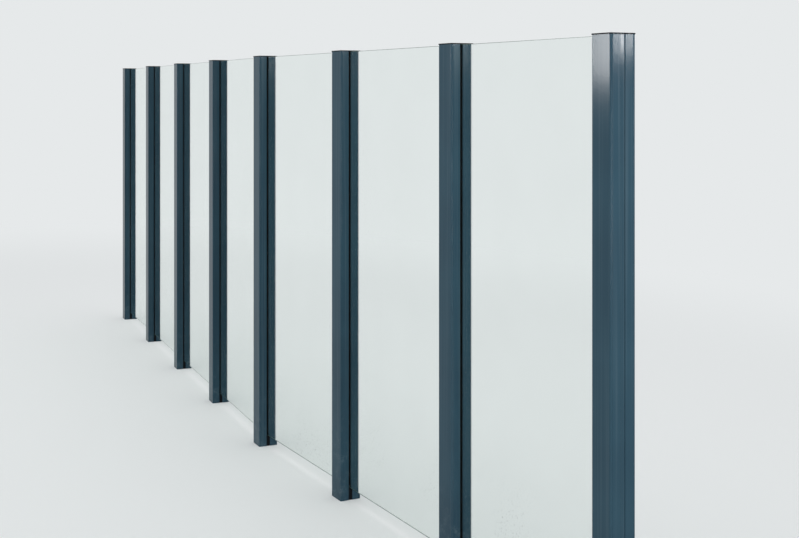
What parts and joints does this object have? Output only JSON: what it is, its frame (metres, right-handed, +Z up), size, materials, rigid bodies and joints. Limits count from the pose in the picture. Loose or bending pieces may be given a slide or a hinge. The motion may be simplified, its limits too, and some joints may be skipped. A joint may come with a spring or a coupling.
{
  "type": "glass windbreak screen",
  "caption": "Garden windbreak of slotted square posts holding clear panes, with a slight bend in the row, flat post caps and black edge gaskets.",
  "frame": {"origin": "ground level at the middle of the bend post, the fourth from the near end", "axes": "+X along the near run towards the near end post, +Y away from the garden, +Z up"},
  "size_m": [4.9606, 0.358, 1.45],
  "materials": {
    "post_powder_coat": "satin powder coat",
    "cap_plastic": "moulded satin",
    "clear_glass": "clear float glass",
    "gasket_rubber": "matt extruded rubber",
    "block_plastic": "matt"
  },
  "bodies": {
    "root": {"cap_1": "cap_plastic", "cap_2": "cap_plastic", "cap_3": "cap_plastic", "cap_4": "cap_plastic", "cap_5": "cap_plastic", "cap_6": "cap_plastic", "cap_7": "cap_plastic", "cap_8": "cap_plastic", "gasket_1": "gasket_rubber", "gasket_2": "gasket_rubber", "gasket_3": "gasket_rubber", "gasket_4": "gasket_rubber", "gasket_5": "gasket_rubber", "gasket_6": "gasket_rubber", "gasket_7": "gasket_rubber", "glass_1": "clear_glass", "glass_2": "clear_glass", "glass_3": "clear_glass", "glass_4": "clear_glass", "glass_5": "clear_glass", "glass_6": "clear_glass", "glass_7": "clear_glass", "glass_block_1": "block_plastic", "glass_block_2": "block_plastic", "glass_block_3": "block_plastic", "glass_block_4": "block_plastic", "glass_block_5": "block_plastic", "glass_block_6": "block_plastic", "glass_block_7": "block_plastic", "post_1": "post_powder_coat", "post_2": "post_powder_coat", "post_3": "post_powder_coat", "post_4": "post_powder_coat", "post_5": "post_powder_coat", "post_6": "post_powder_coat", "post_7": "post_powder_coat", "post_8": "post_powder_coat", "slot_cover_far": "post_powder_coat", "slot_cover_near": "post_powder_coat"}
  },
  "joints": []
}
